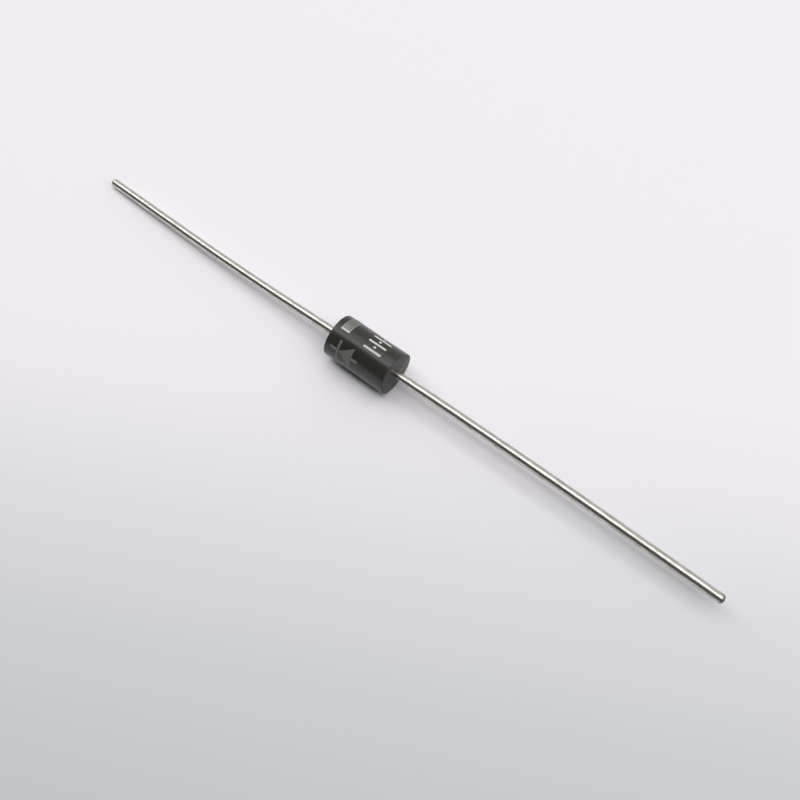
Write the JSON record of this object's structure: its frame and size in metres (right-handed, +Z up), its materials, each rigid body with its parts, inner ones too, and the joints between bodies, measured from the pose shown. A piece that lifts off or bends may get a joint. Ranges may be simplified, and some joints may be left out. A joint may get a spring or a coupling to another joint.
{
  "type": "axial rectifier diode",
  "caption": "Axial-lead rectifier diode: a banded cylindrical body of black moulded epoxy with a long tinned wire lead out of each end.",
  "frame": {"origin": "centre of the moulded body, on the axis of the leads where they leave it", "axes": "+X along the body from the banded cathode end to the anode end, +Z up as the diode lies on a flat surface on its body and the tip of its cathode lead, +Y to the back"},
  "size_m": [0.0608, 0.0036, 0.0036],
  "materials": {
    "body_epoxy": "black moulded epoxy, satin, with a parting line along the mould's split",
    "band_ink": "printed silver-grey ink film",
    "lead_wire": "drawn copper wire plated with bright tin",
    "silicon": "silicon with a plated metal face",
    "passivation": "fused passivation glass",
    "solder": "reflowed solder",
    "silicone": "cured silicone, off-white"
  },
  "bodies": {
    "root": {"moulded_body": "body_epoxy", "cathode_band": "band_ink", "cathode_lead": "lead_wire", "anode_lead": "lead_wire", "silicon_die": "silicon", "passivation_glass": "passivation", "cathode_solder": "solder", "anode_solder": "solder", "junction_coating": "silicone"}
  },
  "joints": []
}
